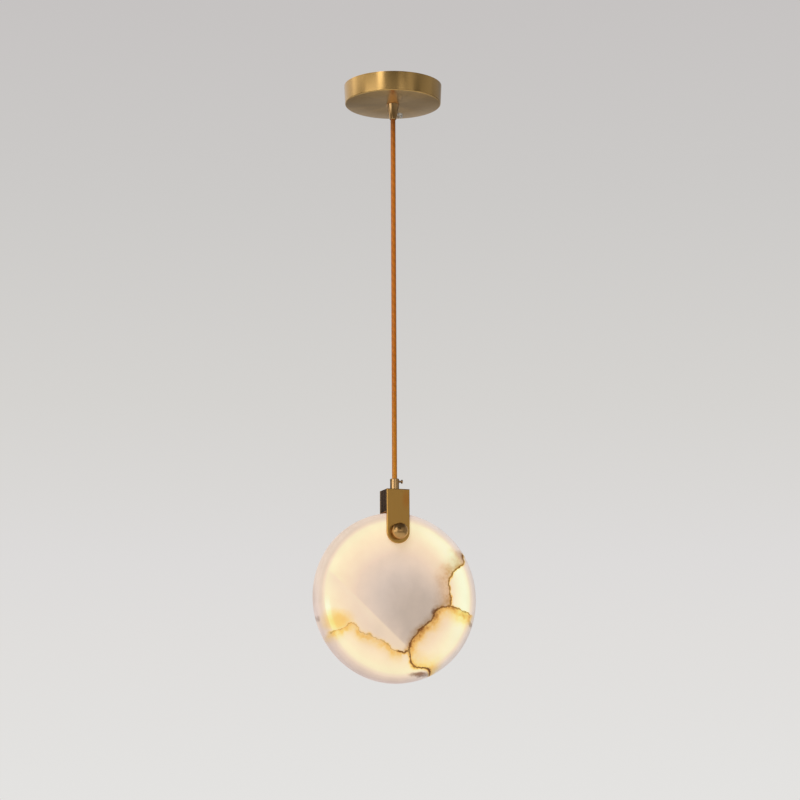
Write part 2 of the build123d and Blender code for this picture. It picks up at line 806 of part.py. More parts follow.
nodes = {
    "ceiling_plate": ceiling_plate(),
    "bridge_bracket": bridge_bracket(),
    "bridge_screws": bridge_screws(),
    "canopy_nipple": canopy_nipple(),
    "nipple_nuts": nipple_nuts(),
    "canopy_cup": canopy_cup(),
    "led_driver": led_driver(),
    "terminal_block": terminal_block(),
    "terminal_screws": terminal_screws(),
    "plate_screws": plate_screws(),
    "earth_screw": earth_screw(),
    "earth_lead": earth_lead(),
    "input_leads": input_leads(),
    "cord_cores": cord_cores(),
    "cord_tail": cord_tail(),
    "upper_cord_grip": cord_grip(),
    "grip_set_screw": grip_screw(),
    "cord_neck": cord_neck(),
    "cord": cord(),
    "lower_cord_grip": lower_grip(),
    "lower_nipple": lower_nipple(),
    "thumb_screw": thumb_screw(),
    "fork_block": fork_block(),
    "front_cheek": cheek(-1),
    "back_cheek": cheek(1),
    "cheek_dowels": cheek_dowels(),
    "bolt_stud": bolt_stud(),
    "front_knob": knob(-1),
    "back_knob": knob(1),
    "stone_pads": stone_pads(),
    "fork_lead": fork_lead(),
    "front_stone": stone_half(-1),
    "back_stone": stone_half(1),
    "bolt_sleeve": bolt_sleeve(),
    "led_channel": led_channel(),
    "led_strip": led_strip(),
    "led_chips": led_chips(),
    "disc_lead": disc_lead(),
}

os.makedirs("parts", exist_ok=True)
for name, solid in nodes.items():
    export_step(solid, f"parts/{name}.step")
print(len(nodes), "nodes, disc centre at", disc_level, "bolt at", bolt_level)
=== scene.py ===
import math

import bpy
from mathutils import Matrix, Vector


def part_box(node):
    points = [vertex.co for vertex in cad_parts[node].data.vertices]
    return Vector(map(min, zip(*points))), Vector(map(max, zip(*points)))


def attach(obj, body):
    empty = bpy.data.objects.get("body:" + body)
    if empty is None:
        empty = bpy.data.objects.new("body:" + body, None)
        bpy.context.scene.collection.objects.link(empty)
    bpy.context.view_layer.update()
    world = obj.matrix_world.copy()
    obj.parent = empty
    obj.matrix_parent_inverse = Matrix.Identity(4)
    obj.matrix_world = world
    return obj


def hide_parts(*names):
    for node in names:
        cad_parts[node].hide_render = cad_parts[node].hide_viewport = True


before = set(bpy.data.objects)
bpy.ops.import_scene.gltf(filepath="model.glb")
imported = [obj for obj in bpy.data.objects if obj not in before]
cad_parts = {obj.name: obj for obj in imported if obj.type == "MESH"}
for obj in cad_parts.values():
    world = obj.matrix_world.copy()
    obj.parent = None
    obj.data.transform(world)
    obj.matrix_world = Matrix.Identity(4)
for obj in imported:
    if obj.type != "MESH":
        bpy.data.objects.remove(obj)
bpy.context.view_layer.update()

bpy.ops.object.select_all(action="DESELECT")

# Studio: a matt pale floor far below the lamp, a pale backdrop behind it, and one large softbox
# high on the left. Dark and bright walls stand round it, which the polished brass mirrors as bands.


def linear(code):
    """A colour written as sRGB hex, as linear values with full alpha."""
    parts = [int(code[i:i + 2], 16) / 255 for i in (1, 3, 5)]
    return [c / 12.92 if c <= 0.04045 else ((c + 0.055) / 1.055) ** 2.4 for c in parts] + [1.0]


def add(tree, kind, links=None, stops=None, points=None, **settings):
    """A node by its settings, values or links, ramp or curve points. Gives its first output."""
    node = tree.nodes.new("ShaderNode" + kind)
    for name, value in settings.items():
        setattr(node, name, value)
    for socket, value in (links or {}).items():
        if isinstance(value, bpy.types.NodeSocket):
            tree.links.new(value, node.inputs[socket])
        else:
            node.inputs[socket].default_value = value
    if stops:
        ramp = node.color_ramp.elements
        while len(ramp) < len(stops):
            ramp.new(1.0)
        for element, (place, colour) in zip(ramp, stops):
            element.position = place
            element.color = linear(colour) if isinstance(colour, str) else [colour] * 3 + [1.0]
    if points:
        line = node.mapping.curves[0].points
        while len(line) < len(points):
            line.new(0.5, 0.5)
        for point, place in zip(line, points):
            point.location = place
        node.mapping.update()
    return next((output for output in node.outputs if output.enabled), None)


floor_level = -2.1
floor_side = 7.0
floor_paint = "#E2E1DE"
floor_roughness = 0.9
floor_fill = 0.42

bpy.ops.mesh.primitive_plane_add(size=floor_side, location=(0, 0, floor_level))
floor = bpy.context.object
floor.name = "floor"
floor.select_set(False)
paint = bpy.data.materials.new("matt_floor_paint")
paint.use_nodes = True
tree = paint.node_tree
shader = tree.nodes["Principled BSDF"]
shader.inputs["Base Color"].default_value = linear(floor_paint)
shader.inputs["Roughness"].default_value = floor_roughness
# The softbox leaves the floor darker than the backdrop, so what looks at it sees a share of its
# paint as if it were lit.
looks = add(tree, "LightPath").node.outputs
straight = add(tree, "Math", {0: looks["Is Camera Ray"], 1: looks["Is Transmission Ray"]},
               operation="MAXIMUM")
straight = add(tree, "Math", {0: straight, 1: looks["Is Glossy Ray"]}, operation="MAXIMUM")
fill = add(tree, "Math", {0: straight, 1: floor_fill}, operation="MULTIPLY")
shader.inputs["Emission Color"].default_value = linear(floor_paint)
tree.links.new(fill, shader.inputs["Emission Strength"])
floor.data.materials.append(paint)

# The backdrop's paint by height: each stop is the sine of the angle above the horizon and a colour.
backdrop_paint = [(0.0, "#E4E3E1"), (0.072, "#E0DEDC"), (0.108, "#DDDBDA"), (0.134, "#DAD8D6"),
                  (0.178, "#D5D3D0"), (0.264, "#CCCAC8"), (0.344, "#C6C3C2")]


def round_room(*walls):
    """Ramp stops for walls, each a heading in degrees from +X, -180 to 180, and a brightness."""
    return [((heading + 180) / 360, brightness) for heading, brightness in walls]


knee_high_walls = round_room(
    (-180, 0.9), (-172, 1.7), (-142, 1.7), (-136, 0.5), (-125, 0.25), (-110, 0.22), (-75, 0.33),
    (0, 0.30), (40, 0.5), (64, 0.75), (92, 0.75), (98, 1.3), (150, 1.3), (158, 0.7), (172, 0.7))
eye_level_walls = round_room(
    (-180, 0.06), (-174, 2.7), (-150, 2.7), (-138, 0.80), (-97, 0.80), (-95, 1.8), (-84, 1.8),
    (-80, 0.95), (-62, 0.95), (-57, 0.08), (-45, 0.08), (-38, 0.55), (-10, 0.55), (-2, 0.12),
    (36, 0.15), (48, 0.70), (86, 0.70), (94, 0.08), (176, 0.08))
upper_walls = round_room(
    (-180, 0.9), (-172, 0.30), (-147, 0.35), (-143, 5.2), (-135, 5.2), (-129, 0.25), (-110, 0.12),
    (-80, 0.05), (-72, 0.7), (-54, 0.7), (-40, 0.36), (-18, 0.55), (8, 0.62), (40, 0.4), (75, 1.0),
    (120, 1.3), (136, 1.5), (147, 2.7), (158, 1.9), (172, 1.6))
room_paint = "#E4E3E1"
ceiling_shade = "#6A6A6A"
far_floor_shade = "#7A7772"
# Each wall gives way to the next between two heights, written as the backdrop's are.
wall_changes = [((-0.06, 0.0), eye_level_walls), ((0.152, 0.168), upper_walls),
                ((0.5, 0.65), ceiling_shade), ((-0.12, -0.35), far_floor_shade)]

world = bpy.data.worlds.new("studio")
bpy.context.scene.world = world
world.use_nodes = True
sky = world.node_tree
sky.nodes.clear()
direction = add(sky, "TexCoord").node.outputs["Generated"]
toward = add(sky, "SeparateXYZ", {0: direction}).node.outputs
backdrop = add(sky, "ValToRGB", {0: toward["Z"]}, stops=backdrop_paint)
turn = add(sky, "Math", {0: toward["Y"], 1: toward["X"]}, operation="ARCTAN2")
heading = add(sky, "MapRange", {0: turn, 1: -math.pi, 2: math.pi})
walls = add(sky, "ValToRGB", {0: heading}, stops=knee_high_walls)
for (start, end), next_walls in wall_changes:
    change = add(sky, "MapRange", {0: toward["Z"], 1: start, 2: end},
                 interpolation_type="SMOOTHSTEP")
    if isinstance(next_walls, str):
        shade = linear(next_walls)
    else:
        shade = add(sky, "ValToRGB", {0: heading}, stops=next_walls)
    walls = add(sky, "Mix", {0: change, 6: walls, 7: shade}, data_type="RGBA")
# The camera sees the backdrop alone, and so does what it sees through nylon. Metal mirrors the
# backdrop shaded by the walls, and the room's plain light is its pale paint shaded by them.
ray = add(sky, "LightPath").node.outputs
seen = add(sky, "Math", {0: ray["Is Camera Ray"], 1: ray["Is Transmission Ray"]},
           operation="MAXIMUM")
shown = add(sky, "Math", {0: seen, 1: ray["Is Glossy Ray"]}, operation="MAXIMUM")
behind = add(sky, "Mix", {0: shown, 6: linear(room_paint), 7: backdrop}, data_type="RGBA")
shading = add(sky, "Mix", {0: seen, 6: walls, 7: (1, 1, 1, 1)}, data_type="RGBA")
light = add(sky, "Mix", {0: 1.0, 6: behind, 7: shading}, data_type="RGBA", blend_type="MULTIPLY")
shine = add(sky, "Background", {0: light, 1: 1.0})
add(sky, "OutputWorld", {0: shine})

softbox_aim = Vector((0, 0, -0.45))
softbox_heading = math.radians(243)
softbox_height = math.radians(48)
softbox_distance = 2.6
softbox_side = 1.5
softbox_power = 42.0

softbox = bpy.data.lights.new("overhead_softbox", "AREA")
softbox.shape = "SQUARE"
softbox.size = softbox_side
softbox.energy = softbox_power
holder = bpy.data.objects.new("overhead_softbox", softbox)
bpy.context.collection.objects.link(holder)
away = Vector((math.cos(softbox_heading) * math.cos(softbox_height),
               math.sin(softbox_heading) * math.cos(softbox_height), math.sin(softbox_height)))
holder.location = softbox_aim + away * softbox_distance
holder.rotation_euler = away.to_track_quat("Z", "Y").to_euler()
# Its cloth is too wide and even to show as a spot in the brass.
holder.visible_glossy = False

# Camera: below the canopy and left of the disc's front, looking a little up, with a long lens.

lens_mm = 101.25
sensor_mm = 36.0
camera_place = (-0.8617, -2.4814, -0.8633)
camera_heading = math.radians(19.30)
camera_tilt = math.radians(10.26)
camera_roll = math.radians(-0.283)

view = bpy.data.cameras.new("camera")
view.lens = lens_mm
view.sensor_width = sensor_mm
camera = bpy.data.objects.new("camera", view)
bpy.context.collection.objects.link(camera)
camera.matrix_world = (
    Matrix.Translation(camera_place)
    @ Matrix.Rotation(-camera_heading, 4, "Z")
    @ Matrix.Rotation(math.radians(90) + camera_tilt, 4, "X")
    @ Matrix.Rotation(camera_roll, 4, "Z")
)
bpy.context.scene.camera = camera
bpy.context.scene.view_settings.view_transform = "Standard"

# Cord: a round two-core cord in clear amber PVC, stretched straight by the disc's weight. It leaves
# the upper grip's mouth and ends inside the ferrule. The two cores show through as a slow twist.


def finish(name, roughness, metallic=0.0):
    """A named finish: its material, its node tree, its shader and the object's own coordinates."""
    made = bpy.data.materials.new(name)
    made.use_nodes = True
    shader = made.node_tree.nodes["Principled BSDF"]
    shader.inputs["Roughness"].default_value = roughness
    shader.inputs["Metallic"].default_value = metallic
    return made, made.node_tree, shader, add(made.node_tree, "TexCoord").node.outputs["Object"]


def stand_in(piece, material, body, slot, *nodes):
    """The piece takes its finish, rides on its body and stands for its CAD nodes."""
    piece.data.materials.clear()
    piece.data.materials.append(material)
    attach(piece, body)
    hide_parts(*nodes)


weld_distance = 0.000002
smooth_limit = math.radians(32)


def smooth_copy(node, name, material, body, slot):
    """A CAD node's own mesh as a new piece, its corners joined and its curves shaded smooth."""
    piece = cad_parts[node].copy()
    piece.data = piece.data.copy()
    for key in [key for key in piece.keys() if key.startswith("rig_")]:
        del piece[key]
    piece.name = name
    bpy.context.collection.objects.link(piece)
    piece.parent = None
    piece.matrix_world = Matrix.Identity(4)
    bpy.context.view_layer.objects.active = piece
    piece.select_set(True)
    bpy.ops.object.mode_set(mode="EDIT")
    bpy.ops.mesh.select_all(action="SELECT")
    bpy.ops.mesh.remove_doubles(threshold=weld_distance)
    bpy.ops.object.mode_set(mode="OBJECT")
    bpy.ops.mesh.customdata_custom_splitnormals_clear()
    bpy.ops.object.shade_smooth_by_angle(angle=smooth_limit)
    piece.select_set(False)
    stand_in(piece, material, body, slot, node)
    return piece


cord_diameter = 0.006
cord_top = -0.042
cord_middle = -0.267
cord_bottom = -0.4919
cord_straight = 0.036
amber_dark = "#84450A"
amber_light = "#C27010"
# The gold below is painted light from the lit stone, laid on the cord's lower end.
stone_glow_gold = "#D08C1C"
amber_coat = "#F3D2A4"
core_twist = 0.018
core_depth = 0.30
cord_glow_start = -0.36
cord_glow_share = 0.8

pvc, tree, shader, where = finish("clear_amber_pvc", 0.35)
spot = add(tree, "SeparateXYZ", {0: where}).node.outputs
angle = add(tree, "Math", {0: spot["Y"], 1: spot["X"]}, operation="ARCTAN2")
winding = add(tree, "Math", {0: spot["Z"], 1: 2 * math.pi / core_twist, 2: angle},
              operation="MULTIPLY_ADD")
double = add(tree, "Math", {0: winding, 1: 2.0}, operation="MULTIPLY")
wave = add(tree, "Math", {0: double}, operation="SINE")
twist = add(tree, "MapRange", {0: wave, 1: -1.0, 2: 1.0, 3: 0.0, 4: core_depth})
amber = add(tree, "Mix", {0: twist, 6: linear(amber_light), 7: linear(amber_dark)},
            data_type="RGBA")
# Painted light: the glow of the lit stone on the cord's lower end is painted into its colour as
# gold.
low = add(tree, "MapRange", {0: spot["Z"], 1: cord_glow_start, 2: cord_bottom, 3: 0.0, 4: cord_glow_share})
painted_glow = add(tree, "Mix", {0: low, 6: amber, 7: linear(stone_glow_gold)}, data_type="RGBA")
tree.links.new(painted_glow, shader.inputs["Base Color"])
shader.inputs["IOR"].default_value = 1.53
shader.inputs["Specular IOR Level"].default_value = 0.25
shader.inputs["Coat Weight"].default_value = 0.25
shader.inputs["Coat Roughness"].default_value = 0.15
shader.inputs["Coat Tint"].default_value = linear(amber_coat)

route = bpy.data.curves.new("cord_run", "CURVE")
route.dimensions = "3D"
route.bevel_depth = cord_diameter / 2
route.bevel_resolution = 8
route.use_fill_caps = True
line = route.splines.new("NURBS")
levels = [cord_top, cord_top - cord_straight, cord_middle, cord_bottom + cord_straight, cord_bottom]
line.points.add(len(levels) - 1)
for point, level in zip(line.points, levels):
    point.co = (0, 0, level, 1)
line.order_u = 3
line.use_endpoint_u = True
line.resolution_u = 12
cord = bpy.data.objects.new("amber_cord", route)
bpy.context.collection.objects.link(cord)
stand_in(cord, pvc, "cord_run", "amber_cord", "cord")
smooth_copy("cord_neck", "cord_neck_bend", pvc, "neck", "amber_cord")
smooth_copy("cord_tail", "cord_clamped_end", pvc, "ceiling_assembly", "amber_cord")

# Ceiling plate, bridge and dowels: pressed and cut steel, zinc plated. Plating leaves pale blotches
# some 10 mm wide and a dull, uneven shine.

zinc_pale = "#BDC0C1"
zinc_dull = "#92979A"
zinc_crystal = 0.009
zinc_cloud = 0.02
zinc_roughness = (0.28, 0.45)
# Nearly all of a noise's values lie between these two.
noise_low = 0.3
noise_high = 0.7

zinc, tree, shader, where = finish("zinc_plated_steel", 0.35, metallic=1.0)
crystals = add(tree, "TexVoronoi", {"Vector": where, "Scale": 1 / zinc_crystal})
mottle = add(tree, "TexNoise", {"Vector": where, "Scale": 1 / zinc_cloud, "Detail": 4.0})
blotch = add(tree, "Math", {0: crystals, 1: mottle}, operation="MULTIPLY")
plating = add(tree, "Mix", {0: blotch, 6: linear(zinc_pale), 7: linear(zinc_dull)},
              data_type="RGBA")
tree.links.new(plating, shader.inputs["Base Color"])
dull = add(tree, "MapRange", {0: mottle, 1: noise_low, 2: noise_high,
                              3: zinc_roughness[0], 4: zinc_roughness[1]})
tree.links.new(dull, shader.inputs["Roughness"])
smooth_copy("ceiling_plate", "slotted_ceiling_plate", zinc, "ceiling_assembly", "zinc_steel")
smooth_copy("bridge_bracket", "pressed_bridge", zinc, "ceiling_assembly", "zinc_steel")
smooth_copy("cheek_dowels", "dowel_pins", zinc, "fork", "zinc_steel")

# Canopy nipple, lower nipple and bolt: zinc plated threaded tube and rod, their threads cut from
# end to end. One nipple carries the canopy and cord, the other joins ferrule and fork.

seam_distance = 0.000001
turned_limit = math.radians(35)


def turned(name, profile, sides=64):
    """A turned piece: a circle drawn on ring by ring through (radius, height) points about Z."""
    radius, level = profile[0]
    fill = "NOTHING"
    rings = profile[1:]
    if radius == 0:
        (radius, level), rings, fill = profile[1], profile[2:], "NGON"
    bpy.ops.mesh.primitive_circle_add(vertices=sides, radius=radius, fill_type=fill,
                                      location=(0, 0, level))
    piece = bpy.context.object
    piece.name = name
    bpy.ops.object.transform_apply(location=True)
    bpy.ops.object.mode_set(mode="EDIT")
    bpy.ops.mesh.select_mode(type="EDGE")
    bpy.ops.mesh.select_all(action="SELECT")
    for wider, next_level in rings:
        bpy.ops.mesh.extrude_edges_move(
            TRANSFORM_OT_translate={"value": (0, 0, next_level - level)})
        if wider == 0:
            bpy.ops.mesh.merge(type="CENTER")
        elif wider != radius:
            ratio = wider / radius
            bpy.ops.transform.resize(value=(ratio, ratio, 1), center_override=(0, 0, next_level))
        radius, level = wider, next_level
    bpy.ops.mesh.select_all(action="SELECT")
    bpy.ops.mesh.remove_doubles(threshold=seam_distance)
    bpy.ops.mesh.normals_make_consistent(inside=False)
    bpy.ops.object.mode_set(mode="OBJECT")
    bpy.ops.object.shade_smooth_by_angle(angle=turned_limit)
    piece.select_set(False)
    return piece


def laid(piece, along, place):
    """Turns a piece from +Z onto the given axis, moves its foot to the place and bakes both in."""
    piece.rotation_euler = Vector(along).to_track_quat("Z", "Y").to_euler()
    piece.location = place
    bpy.context.view_layer.objects.active = piece
    piece.select_set(True)
    bpy.ops.object.transform_apply(location=True, rotation=True)
    piece.select_set(False)
    return piece


def thread(crest, root, start, end, pitch):
    """Rings of a screw thread between two heights, as (radius, height) points."""
    turns = round((end - start) / pitch)
    step = (end - start) / turns
    points = []
    for i in range(turns):
        points += [(root, start + i * step), (crest, start + (i + 0.5) * step)]
    return points + [(root, end)]


nipple_radius = 0.005
nipple_bore_radius = 0.0034
nipple_top = -0.0104
nipple_bottom = -0.0318
lower_nipple_radius = 0.004
lower_nipple_bore_radius = 0.0026
stud_radius = 0.003
stud_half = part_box("bolt_stud")[1][1]
bolt_level = -0.546
thread_depth = 0.0006
thread_pitch = 0.001

nipple = turned("threaded_nipple", [
    (nipple_bore_radius, nipple_bottom),
    *thread(nipple_radius, nipple_radius - thread_depth, nipple_bottom, nipple_top, thread_pitch),
    (nipple_bore_radius, nipple_top), (nipple_bore_radius, nipple_bottom)], sides=32)
stand_in(nipple, zinc, "ceiling_assembly", "zinc_steel", "canopy_nipple")

tube_bottom, tube_top = (corner[2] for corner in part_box("lower_nipple"))
tube = turned("ferrule_nipple", [
    (lower_nipple_bore_radius, tube_bottom),
    *thread(lower_nipple_radius, lower_nipple_radius - thread_depth, tube_bottom, tube_top,
            thread_pitch),
    (lower_nipple_bore_radius, tube_top), (lower_nipple_bore_radius, tube_bottom)], sides=32)
stand_in(tube, zinc, "fork", "zinc_steel", "lower_nipple")

stud = turned("threaded_bolt", [
    (0, -stud_half),
    *thread(stud_radius, stud_radius - thread_depth, -stud_half, stud_half, thread_pitch),
    (0, stud_half)], sides=32)
laid(stud, (0, 1, 0), (0, 0, bolt_level))
stand_in(stud, zinc, "fork", "zinc_steel", "bolt_stud")

# Nipple nuts: two hexagon lock nuts of zinc plated steel, one above and one below the bridge, with
# the corners turned off on both faces.

nut_reach = 0.007 / math.cos(math.radians(30))
nut_bore_radius = 0.00515
nut_chamfer = 0.0008
nut_thickness = 0.003
nuts_bottom, nuts_top = (corner[2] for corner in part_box("nipple_nuts"))

nuts = []
for foot in (nuts_bottom, nuts_top - nut_thickness):
    head = foot + nut_thickness
    nuts.append(turned("lock_nut", [
        (nut_bore_radius, foot), (nut_reach - nut_chamfer, foot),
        (nut_reach, foot + nut_chamfer / 2), (nut_reach, head - nut_chamfer / 2),
        (nut_reach - nut_chamfer, head), (nut_bore_radius, head), (nut_bore_radius, foot)],
        sides=6))
for nut in nuts:
    nut.select_set(True)
bpy.context.view_layer.objects.active = nuts[0]
bpy.ops.object.join()
nuts[0].name = "nipple_lock_nuts"
nuts[0].select_set(False)
stand_in(nuts[0], zinc, "ceiling_assembly", "zinc_steel", "nipple_nuts")

# Screws: zinc plated pan heads with a straight slot. Two hold the bridge, two the driver, two the
# terminal block, and six clamp the leads in it. Each points up and is driven from below.

screw_pitch = 0.0007
screw_thread_depth = 0.0003


def slotted_screw(head_radius, head_height, shank_radius, shank_length, slot):
    """A pan-head screw that hangs head down from its seat at the origin, its head slotted."""
    edge = head_height * 0.35
    screw = turned("screw", [
        (0, -head_height), (head_radius - edge, -head_height),
        (head_radius - edge * 0.3, -head_height + edge * 0.3), (head_radius, -head_height + edge),
        (head_radius, 0), (shank_radius, 0),
        *thread(shank_radius, shank_radius - screw_thread_depth, 0, shank_length, screw_pitch),
        (0, shank_length)], sides=24)
    bpy.ops.mesh.primitive_cube_add(size=1, location=(0, 0, -head_height))
    cutter = bpy.context.object
    cutter.scale = (head_radius * 3, slot, head_height * 0.9)
    cutter.select_set(False)
    groove = screw.modifiers.new("slot", "BOOLEAN")
    groove.operation = "DIFFERENCE"
    groove.solver = "EXACT"
    groove.object = cutter
    bpy.context.view_layer.objects.active = screw
    bpy.ops.object.modifier_apply(modifier=groove.name)
    bpy.data.objects.remove(cutter)
    bpy.ops.object.shade_smooth_by_angle(angle=turned_limit)
    return screw


def screw_set(name, screw, places, turns):
    """Copies one screw to each place with its slot turned, joins them and drops the first."""
    copies = []
    for place, turn in zip(places, turns):
        other = screw.copy()
        other.data = screw.data.copy()
        bpy.context.collection.objects.link(other)
        other.data.transform(Matrix.Translation(place)
                             @ Matrix.Rotation(math.radians(turn), 4, "Z"))
        other.select_set(True)
        copies.append(other)
    bpy.context.view_layer.objects.active = copies[0]
    if len(copies) > 1:
        bpy.ops.object.join()
    copies[0].name = name
    copies[0].select_set(False)
    bpy.data.objects.remove(screw)
    return copies[0]


bridge_seat = -0.003
bridge_reach = 0.0275
driver_seat = -0.0035
driver_reach = 0.0345
driver_row = 0.03
block_seat = -0.0053
block_reach = 0.0045
block_row = -0.0285
clamp_seat = -0.01285
clamp_depth = 0.0023
clamp_columns = (-0.009, 0, 0.009)
clamp_rows = (-0.03275, -0.02425)

bridge_set = screw_set(
    "bridge_pan_screws",
    slotted_screw(head_radius=0.0038, head_height=0.0026, shank_radius=0.002,
                  shank_length=-bridge_seat, slot=0.0009),
    places=[(x, 0, bridge_seat) for x in (-bridge_reach, bridge_reach)], turns=[20, 75])
stand_in(bridge_set, zinc, "ceiling_assembly", "zinc_steel", "bridge_screws")

driver_set = screw_set(
    "driver_screws",
    slotted_screw(head_radius=0.0028, head_height=0.002, shank_radius=0.0015,
                  shank_length=-driver_seat, slot=0.0007),
    places=[(x, driver_row, driver_seat) for x in (-driver_reach, driver_reach)], turns=[35, 110])
block_set = screw_set(
    "block_screws",
    slotted_screw(head_radius=0.0015, head_height=0.0012, shank_radius=0.0012,
                  shank_length=-block_seat, slot=0.0005),
    places=[(x, block_row, block_seat) for x in (-block_reach, block_reach)], turns=[60, 5])
driver_set.select_set(True)
block_set.select_set(True)
bpy.context.view_layer.objects.active = driver_set
bpy.ops.object.join()
driver_set.name = "plate_mounting_screws"
driver_set.select_set(False)
stand_in(driver_set, zinc, "ceiling_assembly", "zinc_steel", "plate_screws")

clamp_set = screw_set(
    "terminal_clamp_screws",
    slotted_screw(head_radius=0.0016, head_height=0.0012, shank_radius=0.0014,
                  shank_length=clamp_depth, slot=0.0005),
    places=[(x, y, clamp_seat) for x in clamp_columns for y in clamp_rows],
    turns=[10, 95, 50, 140, 80, 25])
stand_in(clamp_set, zinc, "ceiling_assembly", "zinc_steel", "terminal_screws")

# Driver and terminal block: moulded polycarbonate, off-white, with the faint speckle of a sparked
# mould. Both are screwed to the ceiling plate.


def patchy(name, tone, shade, patch, detail, roughness, metallic=0.0):
    """A finish whose colour drifts between two tones in patches of a size. Gives its noise too."""
    made, tree, shader, where = finish(name, roughness, metallic)
    drift = add(tree, "TexNoise", {"Vector": where, "Scale": 1 / patch, "Detail": detail})
    mix = add(tree, "Mix", {0: drift, 6: linear(tone), 7: linear(shade)}, data_type="RGBA")
    tree.links.new(mix, shader.inputs["Base Color"])
    return made, tree, shader, where, drift


housing_white = "#E4E2DC"
housing_shade = "#D3D0C8"
housing_patch = 0.03
mould_speckle = 0.0012
speckle_height = 0.00005

moulded, tree, shader, where, _ = patchy(
    "moulded_white_polycarbonate", housing_white, housing_shade, housing_patch, 2.0, 0.5)
speckle = add(tree, "TexNoise", {"Vector": where, "Scale": 1 / mould_speckle, "Detail": 2.0})
relief = add(tree, "Bump", {"Height": speckle, "Distance": speckle_height})
tree.links.new(relief, shader.inputs["Normal"])
smooth_copy("led_driver", "driver_housing", moulded, "ceiling_assembly", "white_plastic")
smooth_copy("terminal_block", "terminal_strip", moulded, "ceiling_assembly", "white_plastic")

# Leads: stranded copper in clear PVC, so the strands show as a fine copper stripe. They run above
# the canopy, through the fork and round the groove in the stone.

copper_pale = "#D8C3A2"
copper_deep = "#B98A5C"
strand_lay = 0.004

lead_cover, tree, shader, where = finish("clear_pvc_over_copper", 0.3)
strands = add(tree, "TexWave", {"Vector": where, "Scale": 1 / strand_lay, "Distortion": 2.0})
copper = add(tree, "Mix", {0: strands.node.outputs["Fac"], 6: linear(copper_deep),
                           7: linear(copper_pale)}, data_type="RGBA")
tree.links.new(copper, shader.inputs["Base Color"])
for node, body in (("input_leads", "ceiling_assembly"), ("earth_lead", "ceiling_assembly"),
                   ("cord_cores", "ceiling_assembly"), ("fork_lead", "fork"),
                   ("disc_lead", "disc")):
    smooth_copy(node, node + "_cover", lead_cover, body, "lead_plastic")

# Canopy: a shallow cup spun from brass sheet, brushed round on the lathe and clear lacquered. The
# brushing runs round the axis, so lights draw out into upright streaks on its wall. Its floor
# turns into the wall over a small radius.

brass_tone = "#D0A865"
brass_shade = "#CCA360"
brass_roughness = (0.24, 0.26)
brush_step = 0.0006
brass_cloud = 0.05
tone_range = (0.12, 0.42)
# The fan values below set a painted reflection: paler and darker fans over the cup.
reflected_fan_scale = 2.6
reflected_fan_range = (0.35, 0.65)
reflected_fan_strength = (0.90, 1.08)
canopy_rim_radius = 0.0592
canopy_floor_radius = 0.0581
canopy_flat_radius = 0.030
canopy_floor = -0.0232
canopy_sheet = 0.0015
canopy_corner = 0.0013
canopy_hole_radius = 0.0053
corner_steps = 5

spun_brass, tree, shader, where = finish("spun_satin_brass", 0.3, metallic=1.0)
spot = add(tree, "SeparateXYZ", {0: where}).node.outputs
flat = add(tree, "CombineXYZ", {0: spot["X"], 1: spot["Y"]})
radius = add(tree, "VectorMath", {0: flat}, operation="LENGTH")
# Radius and height alone drive the noise, so its grain runs round the axis.
rings = add(tree, "CombineXYZ", {0: radius, 1: spot["Z"]})
grain = add(tree, "TexNoise", {"Vector": rings, "Scale": 1 / brush_step, "Detail": 3.0})
cloud = add(tree, "TexNoise", {"Vector": where, "Scale": 1 / brass_cloud, "Detail": 2.0})
tone = add(tree, "Math", {0: grain, 1: cloud}, operation="MULTIPLY")
tone = add(tree, "MapRange", {0: tone, 1: tone_range[0], 2: tone_range[1]})
brass = add(tree, "Mix", {0: tone, 6: linear(brass_shade), 7: linear(brass_tone)}, data_type="RGBA")
# Paler and darker fans are painted in: partly uneven strokes round the cup, partly painted
# reflection standing for the fan-shaped highlights of the round brushing.
spoke = add(tree, "VectorMath", {0: flat}, operation="NORMALIZE")
reflected_fan = add(tree, "TexNoise", {"Vector": spoke, "Scale": reflected_fan_scale, "Detail": 3.0})
reflected_fan = add(tree, "MapRange", {0: reflected_fan, 1: reflected_fan_range[0], 2: reflected_fan_range[1],
                             3: reflected_fan_strength[0], 4: reflected_fan_strength[1]})
brass = add(tree, "VectorMath", {0: brass, 3: reflected_fan}, operation="SCALE")
tree.links.new(brass, shader.inputs["Base Color"])
satin = add(tree, "MapRange", {0: grain, 1: noise_low, 2: noise_high,
                               3: brass_roughness[0], 4: brass_roughness[1]})
tree.links.new(satin, shader.inputs["Roughness"])
around = add(tree, "Tangent", direction_type="RADIAL", axis="Z")
tree.links.new(around, shader.inputs["Tangent"])
shader.inputs["Anisotropic"].default_value = 0.6
shader.inputs["Anisotropic Rotation"].default_value = 0.25
shader.inputs["Coat Weight"].default_value = 0.35
shader.inputs["Coat Roughness"].default_value = 0.2

bend = []
for i in range(corner_steps + 1):
    turn = math.pi / 2 * i / corner_steps
    bend.append((canopy_floor_radius - canopy_corner + canopy_corner * math.sin(turn),
                 canopy_floor + canopy_corner - canopy_corner * math.cos(turn)))
inner_floor = canopy_floor + canopy_sheet
canopy = turned("spun_canopy", [
    (canopy_hole_radius, canopy_floor), (canopy_flat_radius, canopy_floor), *bend,
    (canopy_rim_radius, 0), (canopy_rim_radius - canopy_sheet, 0),
    (canopy_floor_radius - canopy_sheet, inner_floor), (canopy_hole_radius, inner_floor),
    (canopy_hole_radius, canopy_floor)], sides=144)
stand_in(canopy, spun_brass, "ceiling_assembly", "satin_brass", "canopy_cup")

# Cord grips, thumb screw, earth screw and the sleeve in the stone: turned brass, polished and
# lacquered. Fine turning marks and a little tarnish stay under the lacquer.

polish_tone = "#D6AC70"
polish_shade = "#BE9055"
tarnish_patch = 0.006


